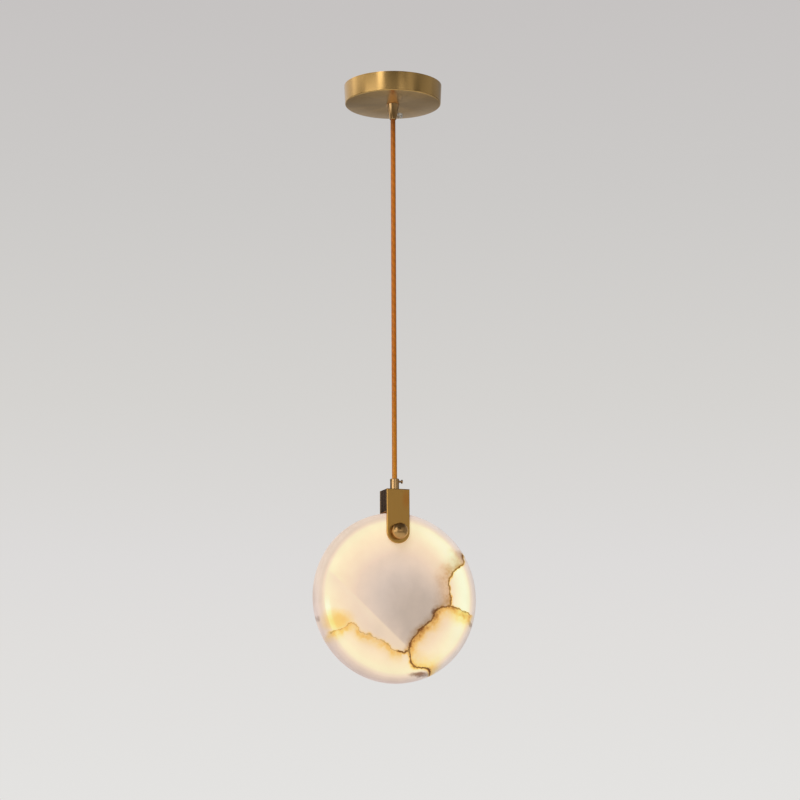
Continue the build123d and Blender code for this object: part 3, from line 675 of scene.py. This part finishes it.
def turned_brass(name, roughness, coat, coat_roughness):
    """Turned brass, duller where it has tarnished, under a coat of lacquer."""
    made, tree, shader, _, wear = patchy(
        name, polish_tone, polish_shade, tarnish_patch, 3.0, roughness[0], metallic=1.0)
    dull = add(tree, "MapRange", {0: wear, 1: noise_low, 2: noise_high,
                                  3: roughness[0], 4: roughness[1]})
    tree.links.new(dull, shader.inputs["Roughness"])
    shader.inputs["Coat Weight"].default_value = coat
    shader.inputs["Coat Roughness"].default_value = coat_roughness
    return made


polished_brass = turned_brass("turned_polished_brass", roughness=(0.12, 0.17), coat=1.0,
                              coat_roughness=0.06)

cone_base_radius = 0.0079
cone_edge = 0.0003
cone_tip_radius = 0.0042
cone_lip = 0.0006
cone_lip_radius = 0.0038
cone_mouth_radius = 0.00375
cone_flare = 0.0007
cone_bore_radius = 0.0034
cone_bore_end = -0.0322
cone_socket_radius = 0.0051
cone_socket_end = -0.0321
grip_tip = -0.042
cone = turned("upper_grip_cone", [
    (cone_socket_radius, canopy_floor), (cone_base_radius - cone_edge, canopy_floor),
    (cone_base_radius, canopy_floor - cone_edge), (cone_tip_radius, grip_tip + cone_lip),
    (cone_lip_radius, grip_tip), (cone_mouth_radius, grip_tip),
    (cone_bore_radius, grip_tip + cone_flare), (cone_bore_radius, cone_bore_end),
    (cone_socket_radius, cone_socket_end),
    (cone_socket_radius, canopy_floor)], sides=64)
stand_in(cone, polished_brass, "ceiling_assembly", "polished_brass", "upper_cord_grip")

ferrule_top = -0.4824
ferrule_bottom = -0.4958
ferrule_radius = 0.00535
ferrule_edge = 0.0003
ferrule_bore_radius = 0.0031
ferrule_socket_radius = 0.0041
lead_hole_radius = 0.0018
cord_stop_top = -0.4922
cord_stop_bottom = -0.4930
ferrule = turned("lower_grip_ferrule", [
    (ferrule_socket_radius, ferrule_bottom), (ferrule_radius, ferrule_bottom),
    (ferrule_radius, ferrule_top - ferrule_edge), (ferrule_radius - ferrule_edge, ferrule_top),
    (ferrule_bore_radius, ferrule_top), (ferrule_bore_radius, cord_stop_top),
    (lead_hole_radius, cord_stop_top), (lead_hole_radius, cord_stop_bottom),
    (ferrule_socket_radius, cord_stop_bottom), (ferrule_socket_radius, ferrule_bottom)], sides=64)
stand_in(ferrule, polished_brass, "fork", "polished_brass", "lower_cord_grip")

thumb_level = -0.4854
thumb_tip = 0.0031
thumb_shank_radius = 0.0015
thumb_neck_radius = 0.0012
thumb_neck = 0.0062
thumb_head = 0.0083
thumb_head_radius = 0.0025
thumb_end = 0.0098
thumb = turned("thumb_screw_turned", [
    (0, thumb_tip), (thumb_neck_radius, thumb_tip), (thumb_shank_radius, thumb_tip + 0.0003),
    (thumb_shank_radius, thumb_neck - 0.00025), (thumb_neck_radius, thumb_neck),
    (thumb_neck_radius, thumb_head), (thumb_head_radius - 0.0005, thumb_head),
    (thumb_head_radius - 0.0001, thumb_head + 0.0003), (thumb_head_radius, thumb_head + 0.0006),
    (thumb_head_radius, thumb_end - 0.0006), (thumb_head_radius - 0.0002, thumb_end - 0.0002),
    (thumb_head_radius - 0.0007, thumb_end), (0, thumb_end)], sides=40)
laid(thumb, (1, 0, 0), (0, 0, thumb_level))
stand_in(thumb, polished_brass, "ferrule_thumb_screw", "polished_brass", "thumb_screw")

earth_place = (-0.034, -0.025, -0.0024)
earth_set = screw_set(
    "earth_clamp_screw",
    slotted_screw(head_radius=0.0028, head_height=0.002, shank_radius=0.0015,
                  shank_length=-earth_place[2], slot=0.0007),
    places=[earth_place], turns=[55])
stand_in(earth_set, polished_brass, "ceiling_assembly", "polished_brass", "earth_screw")
smooth_copy("bolt_sleeve", "stone_sleeve", polished_brass, "disc", "polished_brass")

# Knobs: each is a blind nut of turned brass, a short skirt under a shallow dome, bored for the bolt
# and screwed against its cheek. Fingers have dulled its polish.

knob_radius = 0.0093
knob_edge = 0.0003
knob_skirt = 0.007
knob_brow = 0.0002
knob_height = 0.012
knob_bore_radius = 0.00308
knob_bore_depth = 0.0075
knob_seat = 0.0137
dome = knob_height - knob_skirt
crown_radius = (knob_radius ** 2 + dome ** 2) / (2 * dome)
crown_angle = math.asin(knob_radius / crown_radius)
dome_steps = 14

buffed_brass = turned_brass("handled_knob_brass", roughness=(0.30, 0.36), coat=0.2,
                            coat_roughness=0.15)
crown = []
for i in range(1, dome_steps):
    turn = crown_angle * (1 - i / dome_steps)
    crown.append((crown_radius * math.sin(turn),
                  knob_height - crown_radius * (1 - math.cos(turn))))
knob_profile = [
    (0, knob_bore_depth), (knob_bore_radius, knob_bore_depth), (knob_bore_radius, 0),
    (knob_radius - knob_edge, 0), (knob_radius, knob_edge), (knob_radius, knob_skirt - knob_brow),
    *crown, (0, knob_height)]
for side, sign in (("front", -1), ("back", 1)):
    knob = turned(side + "_knob_domed", knob_profile)
    laid(knob, (0, sign, 0), (0, sign * knob_seat, bolt_level))
    stand_in(knob, buffed_brass, "knob_" + side, "polished_brass", side + "_knob")

# Grip screw and pads: clear nylon, slightly milky. The screw clamps the cord in its grip, and the
# pads keep the stone off the cheeks.

nylon_clear = "#E9E6E0"
nylon_milk = "#D6D3CC"
milk_patch = 0.003

nylon, tree, shader, _, _ = patchy("clear_nylon", nylon_clear, nylon_milk, milk_patch, 2.0, 0.25)
shader.inputs["IOR"].default_value = 1.53
shader.inputs["Transmission Weight"].default_value = 0.55
smooth_copy("grip_set_screw", "nylon_grip_screw", nylon, "upper_set_screw", "clear_nylon")
smooth_copy("stone_pads", "nylon_pads", nylon, "fork", "clear_nylon")

# Fork: two brass plates, brushed lengthways to an even satin, and between them a block sawn from
# bar brass and polished along its length.

plate_tone = "#CE9E55"
plate_shade = "#C3944B"
plate_roughness = (0.28, 0.33)
stroke_width = 0.0009
stroke_length = 0.03
corner_orange = "#CC8238"
orange_middle = (0.0095, 0.0, -0.508)
orange_spread = (0.007, 0.05, 0.017)
orange_strength = 0.6
bar_bright = "#C89468"
# The near black is partly the bar's darkened brass and partly painted reflection of the dark room.
darkened_and_mirrored = "#48301F"
bar_streak = 0.003
bar_streak_length = 0.08
bar_range = (0.35, 0.65)

brushed_brass, tree, shader, where = finish("brushed_brass_plate", 0.3, metallic=1.0)
stretch = add(tree, "Mapping", {"Vector": where, "Scale": (
    1 / stroke_width, 1 / stroke_width, 1 / stroke_length)})
stroke = add(tree, "TexNoise", {"Vector": stretch, "Scale": 1.0, "Detail": 3.0})
plate = add(tree, "Mix", {0: stroke, 6: linear(plate_shade), 7: linear(plate_tone)},
            data_type="RGBA")
# The plates turn orange towards the upper right corner.
corner = add(tree, "Mapping", {"Vector": where, "Location": orange_middle,
                               "Scale": orange_spread}, vector_type="TEXTURE")
orange_share = add(tree, "VectorMath", {0: corner}, operation="LENGTH")
orange_share = add(tree, "MapRange", {0: orange_share, 1: 0.2, 2: 1.0, 3: orange_strength, 4: 0.0},
           interpolation_type="SMOOTHSTEP")
plate = add(tree, "Mix", {0: orange_share, 6: plate, 7: linear(corner_orange)}, data_type="RGBA")
tree.links.new(plate, shader.inputs["Base Color"])
satin = add(tree, "MapRange", {0: stroke, 1: noise_low, 2: noise_high,
                               3: plate_roughness[0], 4: plate_roughness[1]})
tree.links.new(satin, shader.inputs["Roughness"])
for side in ("front", "back"):
    smooth_copy(side + "_cheek", side + "_fork_plate", brushed_brass, "fork", "satin_brass")

# The bar's colour runs in streaks from bright brass to near black: partly the bar's own darkened
# brass, partly painted reflection of the dark room round it.
bar_brass, tree, shader, where = finish("polished_bar_brass", 0.16, metallic=1.0)
stretch = add(tree, "Mapping", {"Vector": where, "Scale": (
    1 / bar_streak, 1 / bar_streak, 1 / bar_streak_length)})
stroke = add(tree, "TexNoise", {"Vector": stretch, "Scale": 1.0, "Detail": 2.0})
stroke = add(tree, "MapRange", {0: stroke, 1: bar_range[0], 2: bar_range[1]})
bar = add(tree, "Mix", {0: stroke, 6: linear(darkened_and_mirrored), 7: linear(bar_bright)}, data_type="RGBA")
tree.links.new(bar, shader.inputs["Base Color"])
smooth_copy("fork_block", "fork_bar_block", bar_brass, "fork", "satin_brass")

# LED ring: an extruded aluminium channel rolled to a C, a white flexible board stuck in it, and the
# board's chips under yellow phosphor.

drawn_pale = "#C9CACB"
drawn_grey = "#B4B6B8"
drawn_patch = 0.004
board_white = "#EDEDE8"
board_shade = "#DDDCD5"
board_patch = 0.01
phosphor_deep = "#F4D34A"
phosphor_pale = "#F7E08A"
phosphor_grain = 0.001
phosphor_light = "#FFF2C8"

rolled = patchy("rolled_aluminium", drawn_pale, drawn_grey, drawn_patch, 3.0, 0.4, metallic=1.0)[0]
smooth_copy("led_channel", "rolled_led_channel", rolled, "disc", "aluminium")

board = patchy("white_flexible_board", board_white, board_shade, board_patch, 2.0, 0.45)[0]
smooth_copy("led_strip", "flexible_led_board", board, "disc", "led_board")

phosphor, tree, shader, _, _ = patchy("led_phosphor", phosphor_deep, phosphor_pale, phosphor_grain,
                                      1.0, 0.5)
shader.inputs["Emission Color"].default_value = linear(phosphor_light)
shader.inputs["Emission Strength"].default_value = 2.0
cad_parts["led_chips"].data.materials.clear()
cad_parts["led_chips"].data.materials.append(phosphor)

# Disc: two halves of cream alabaster, cut, polished and glued round the light. Lit from inside, the
# ring over the groove glows most, the rim and the thick middle less, and brown mineral veins with
# ochre stains part the stone into cells.

disc_level = -0.6227
disc_reach_mm = 100.0
mm = 0.001

alabaster, tree, shader, where = finish("polished_alabaster", 0.34)
# Millimetres from the disc's middle, and the same laid flat on its face. All sizes below are so.
local = add(tree, "Mapping", {"Vector": where, "Location": (0, 0, disc_level),
                              "Scale": (mm, mm, mm)}, vector_type="TEXTURE")
spot = add(tree, "SeparateXYZ", {0: local}).node.outputs
face = add(tree, "CombineXYZ", {0: spot["X"], 2: spot["Z"]})
radius = add(tree, "VectorMath", {0: face}, operation="LENGTH")

# The lit stone's colour from the middle out: greyish, peach, the glow over the LED ring, the rim.
outward = add(tree, "MapRange", {0: radius, 1: 0.0, 2: disc_reach_mm})
glow = add(tree, "ValToRGB", {0: outward}, stops=[
    (0.0, "#D6C3B6"), (0.20, "#DCC9BB"), (0.35, "#E4CEBD"), (0.50, "#EDD4BE"), (0.60, "#F8DEC1"),
    (0.68, "#FCE3C2"), (0.74, "#FFE8C4"), (0.80, "#FFECC6"), (0.84, "#FFF0C9"), (0.88, "#FFEFC9"),
    (0.91, "#F6E1C6"), (0.94, "#EBD4C1"), (0.97, "#E6D0C2"), (1.0, "#E0CCC4")])

# Mineral boundaries are never straight: a noise pushes the veins 1 to 2 mm aside, and its finer
# layers roughen them. A second one leaves the stains patchy.
wander = 7
wander_push = 8.0
stain_patch = 11
patch_range = (0.36, 0.62)
patch_floor = 0.50
rough = add(tree, "TexNoise", {"Vector": local, "Scale": 1 / wander, "Detail": 5.0,
                               "Roughness": 0.62})
push = add(tree, "VectorMath", {0: rough.node.outputs["Color"], 1: (0.5, 0.5, 0.5)},
           operation="SUBTRACT")
pushed = add(tree, "VectorMath", {0: push, 1: (wander_push, 0.0, wander_push), 2: face},
             operation="MULTIPLY_ADD")
patchwork = add(tree, "TexNoise", {"Vector": local, "Scale": 1 / stain_patch, "Detail": 4.0,
                                   "Roughness": 0.65})
patch = add(tree, "MapRange", {0: patchwork, 1: patch_range[0], 2: patch_range[1],
                               3: patch_floor, 4: 1.0})

# Each vein has the point it starts from, its heading in degrees, its length and its offsets from
# the straight line, then its width, its darkness, its stain's strength, how far the stain reaches
# on its right and on its left, and how far smoke spreads on its left.
veins = {
    "right": ((64, -9), 73.0, 63.0, [
        (0, 0), (10, 1), (19, 5), (28, 9), (36, 8), (44, 5), (51, -1), (63, 0)],
        0.9, 0.85, 0.9, 4, 3, 26),
    "to_rim": ((64, -9), -21.0, 28.0, [(0, 0), (7, 2), (17, 1), (28, 0)],
               0.8, 0.7, 0.95, 24, 2, 0),
    "lower": ((13, -62), 46.0, 73.0, [
        (0, 0), (4, 2), (13, 6), (23, 7), (34, 6), (43, 5), (52, 6), (57, 8), (63, 7), (73, 0)],
        1.1, 1.0, 1.0, 20, 3, 9),
    "left": ((-82, -43), -12.8, 87.0, [
        (0, 0), (6, 4), (13, 8), (20, 15), (24, 17), (29, 15), (36, 10), (48, 9), (60, 6), (70, 4),
        (80, -1), (87, 0)],
        0.8, 0.34, 0.62, 18, 5, 0),
    "bridge": ((1, -62), 0.0, 12.0, [(0, 0), (6, -1), (12, 0)],
               1.1, 0.9, 1.0, 5, 3, 0),
    "bottom": ((13, -62), -45.0, 38.0, [
        (0, 0), (5, -2), (11, -7), (18, -7), (24, -3), (31, 3), (38, 0)],
        1.2, 1.0, 0.95, 7, 26, 0),
}
reach = 30.0
core_share = 0.35
core_feather = 1.5
end_fade = 6.0
smoke_onset = 0.6
vein = 0.0
stain = 0.0
smoke = 0.0
sides = {}
for name, (start, heading, length, offsets, width, dark, tint, right, left, haze) in veins.items():
    along = add(tree, "Mapping", {
        "Vector": pushed, "Location": (start[0], 0, start[1]),
        "Rotation": (0, -math.radians(heading), 0)}, vector_type="TEXTURE")
    place = add(tree, "SeparateXYZ", {0: along}).node.outputs
    run = add(tree, "MapRange", {0: place["X"], 1: 0.0, 2: length})
    course = add(tree, "FloatCurve", {1: run}, points=[
        (s / length, 0.5 + t / (2 * reach)) for s, t in offsets])
    offset = add(tree, "MapRange", {0: course, 3: -reach, 4: reach})
    side = add(tree, "Math", {0: place["Z"], 1: offset}, operation="SUBTRACT")
    sides[name] = side
    before = add(tree, "Math", {0: 0.0, 1: place["X"]}, operation="SUBTRACT")
    past = add(tree, "Math", {0: place["X"], 1: length}, operation="SUBTRACT")
    outside = add(tree, "Math", {0: before, 1: past}, operation="MAXIMUM")
    outside = add(tree, "Math", {0: outside, 1: 0.0}, operation="MAXIMUM")
    gap = add(tree, "Math", {0: side}, operation="ABSOLUTE")
    far = add(tree, "Math", {0: gap, 1: outside}, operation="ADD")
    core = add(tree, "MapRange", {0: far, 1: width * core_share,
                                  2: width * core_feather, 3: dark, 4: 0.0},
               interpolation_type="SMOOTHSTEP")
    vein = add(tree, "Math", {0: vein, 1: core}, operation="MAXIMUM")
    # Past its ends a stain fades within a few millimetres.
    end = add(tree, "MapRange", {0: outside, 1: 0.0, 2: end_fade, 3: 1.0, 4: 0.0},
              interpolation_type="SMOOTHSTEP")
    across = add(tree, "MapRange", {0: side, 1: -reach, 2: reach})
    spread = add(tree, "FloatCurve", {1: across}, points=[
        (0.0, 0.0), (0.5 - right / (2 * reach), 0.0), (0.5 - right / (5 * reach), 0.45),
        (0.5 - 0.01, 1.0), (0.5 + 0.01, 0.8), (0.5 + left / (2 * reach), 0.0), (1.0, 0.0)])
    ochre = add(tree, "Math", {0: spread, 1: end}, operation="MULTIPLY")
    ochre = add(tree, "Math", {0: ochre, 1: tint}, operation="MULTIPLY")
    stain = add(tree, "Math", {0: stain, 1: ochre}, operation="MAXIMUM")
    if haze:
        veil = add(tree, "MapRange", {0: side, 1: 0.0, 2: haze, 3: 1.0, 4: 0.0},
                   interpolation_type="SMOOTHSTEP")
        onset = add(tree, "MapRange", {0: side, 1: -smoke_onset, 2: smoke_onset})
        veil = add(tree, "Math", {0: veil, 1: onset}, operation="MULTIPLY")
        veil = add(tree, "Math", {0: veil, 1: end}, operation="MULTIPLY")
        smoke = add(tree, "Math", {0: smoke, 1: veil}, operation="MAXIMUM")


def mark(middle, wide, tall, strength, fade=(0.3, 1.3)):
    """A spot by its middle, half widths and strength, and the shares of them where it fades."""
    off = add(tree, "Mapping", {"Vector": pushed, "Location": (middle[0], 0, middle[1]),
                                "Scale": (wide, 1, tall)}, vector_type="TEXTURE")
    away = add(tree, "VectorMath", {0: off}, operation="LENGTH")
    return add(tree, "MapRange", {0: away, 1: fade[0], 2: fade[1], 3: strength, 4: 0.0},
               interpolation_type="SMOOTHSTEP")


# Dark mineral spots, and the rusty patch at the left.
blot = 0.0
for spot_place, wide, tall, strength in (
        ((45, -16), 5, 4, 0.8), ((26, -89), 13, 3.2, 1.0), ((-96, -27), 2.5, 3.5, 0.5),
        ((90, -30), 3, 4, 0.5), ((81, 50), 2.5, 4, 0.6)):
    blot = add(tree, "Math", {0: blot, 1: mark(spot_place, wide, tall, strength)},
               operation="MAXIMUM")
rusty = mark((-73, -29), 22, 15, 0.50, fade=(0.2, 1.2))

# The grey heart of the stone lies between the veins, right of and below the middle.
heart_middle = (26.0, 0.0, -20.0)
heart_drift = 30.0
heart_range = (30.0, 76.0)
heart_wisp = 42
heart = add(tree, "VectorMath", {0: face, 1: heart_middle}, operation="DISTANCE")
wisp = add(tree, "TexNoise", {"Vector": local, "Scale": 1 / heart_wisp, "Detail": 3.0,
                              "Distortion": 1.0})
drift = add(tree, "Math", {0: wisp, 1: heart_drift, 2: heart}, operation="MULTIPLY_ADD")
grey = add(tree, "MapRange", {0: drift, 1: heart_range[0], 2: heart_range[1],
                              3: 1.0, 4: 0.0}, interpolation_type="SMOOTHSTEP")
within = [add(tree, "MapRange", {0: sides[name], 1: -1.0, 2: 1.0})
          for name in ("right", "lower", "left")]

# A cleavage plane crosses the lower left, paler below it.
plane_start = (-78, 0, 24)
plane_slope = math.radians(42.4)
plane = add(tree, "Mapping", {"Vector": face, "Location": plane_start,
                              "Rotation": (0, plane_slope, 0)}, vector_type="TEXTURE")
place = add(tree, "SeparateXYZ", {0: plane}).node.outputs

# The masks below rise from 0 to 1 between two places along one line.
masks = {}
for name, scale, start, end in (
        ("below_plane", place["Z"], 1.2, -0.8), ("near_plane", place["Z"], -24.0, -2.0),
        ("along_plane", place["X"], -14.0, 4.0), ("rightward", spot["X"], 10.0, 78.0),
        ("above_foot", spot["Z"], -75.0, -20.0), ("below_middle", spot["Z"], 2.0, -12.0),
        ("above_left_vein", spot["Z"], -42.0, -34.0), ("leftward", spot["X"], -60.0, -70.0),
        ("right_half", spot["X"], 0.0, 45.0), ("left_half", spot["X"], 20.0, -50.0),
        ("upper_half", spot["Z"], -20.0, 30.0)):
    masks[name] = add(tree, "MapRange", {0: scale, 1: start, 2: end})

# The LED ring shows whitest on the right, and as a thin bright sliver at the left. The rim is paler
# on the right and duller at the upper left.
band = add(tree, "ValToRGB", {0: outward}, stops=[
    (0.66, 0.0), (0.80, 0.9), (0.85, 1.0), (0.88, 0.6), (0.91, 0.0)])
edge = add(tree, "ValToRGB", {0: outward}, stops=[
    (0.825, 0.0), (0.845, 1.0), (0.885, 1.0), (0.897, 0.0)])
rim = add(tree, "MapRange", {0: radius, 1: 90.0, 2: 96.0, 3: 0.0, 4: 0.7})
layers = [
    ("#C8B5A6", [grey, *within]),
    ("#F8E0C4", [masks["below_plane"], masks["near_plane"], masks["along_plane"], within[2], 0.72]),
    ("#FFFFDC", [band, masks["rightward"], masks["above_foot"]]),
    ("#FFFFDA", [edge, masks["below_middle"], masks["above_left_vein"], masks["leftward"]]),
    ("#ECE1DA", [rim, masks["right_half"]]),
    ("#D9C4B0", [rim, masks["left_half"], masks["upper_half"]]),
]
lit = glow
for colour, shares in layers:
    share = shares[0]
    for other in shares[1:]:
        share = add(tree, "Math", {0: share, 1: other}, operation="MULTIPLY")
    lit = add(tree, "Mix", {0: share, 6: lit, 7: linear(colour)}, data_type="RGBA")

# Iron stains and smoke tint the light, and the rusty patch at the left has the strongest yellow.
# Over them come the dark spots and the brown of the veins.
smoke_brown = "#D3B488"
spot_brown = "#A58C7C"
vein_brown = "#6E3F18"
stain = add(tree, "Math", {0: stain, 1: patch}, operation="MULTIPLY")
stain = add(tree, "Math", {0: stain, 1: rusty}, operation="MAXIMUM")
smoke = add(tree, "Math", {0: smoke, 1: patch}, operation="MULTIPLY")
iron = add(tree, "ValToRGB", {0: stain}, stops=[
    (0.0, "#FFFFFF"), (0.30, "#FFF2C4"), (0.55, "#FBE194"), (0.80, "#E8C070"), (1.0, "#C4924C")])
for share, colour in ((1.0, iron), (smoke, linear(smoke_brown)),
                      (blot, linear(spot_brown))):
    lit = add(tree, "Mix", {0: share, 6: lit, 7: colour}, data_type="RGBA", blend_type="MULTIPLY")
uneven = add(tree, "MapRange", {0: rough, 1: 0.35, 2: 0.6, 3: 0.55, 4: 1.0})
vein = add(tree, "Math", {0: vein, 1: uneven}, operation="MULTIPLY")
veined = add(tree, "Mix", {0: vein, 6: lit, 7: linear(vein_brown)}, data_type="RGBA")

# Fine cloudiness keeps the glow from looking painted.
cloud_size = 18
cloud_strength = (0.965, 1.03)
cloudy = add(tree, "TexNoise", {"Vector": local, "Scale": 1 / cloud_size, "Detail": 5.0})
bright = add(tree, "MapRange", {0: cloudy, 1: noise_low, 2: noise_high,
                                3: cloud_strength[0], 4: cloud_strength[1]})
target = add(tree, "VectorMath", {0: veined, 3: bright}, operation="SCALE")

# The stone's own surface gives back part of the colour, and its inner light makes up the rest.
stone_body = "#B9AEA6"
surface_dimming = 0.8
surface_share = 0.78
dimmer = add(tree, "VectorMath", {0: target, 3: surface_dimming}, operation="SCALE")
surface = add(tree, "Mix", {0: 1.0, 6: dimmer, 7: linear(stone_body)},
              data_type="RGBA", blend_type="DARKEN")
rest = add(tree, "Mix", {0: surface_share, 6: target, 7: surface},
           data_type="RGBA", blend_type="SUBTRACT")
tree.links.new(surface, shader.inputs["Base Color"])
tree.links.new(rest, shader.inputs["Emission Color"])
shader.inputs["Emission Strength"].default_value = 1.0
shader.inputs["IOR"].default_value = 1.52
for side in ("front", "back"):
    smooth_copy(side + "_stone", side + "_alabaster_half", alabaster, "disc", "alabaster")
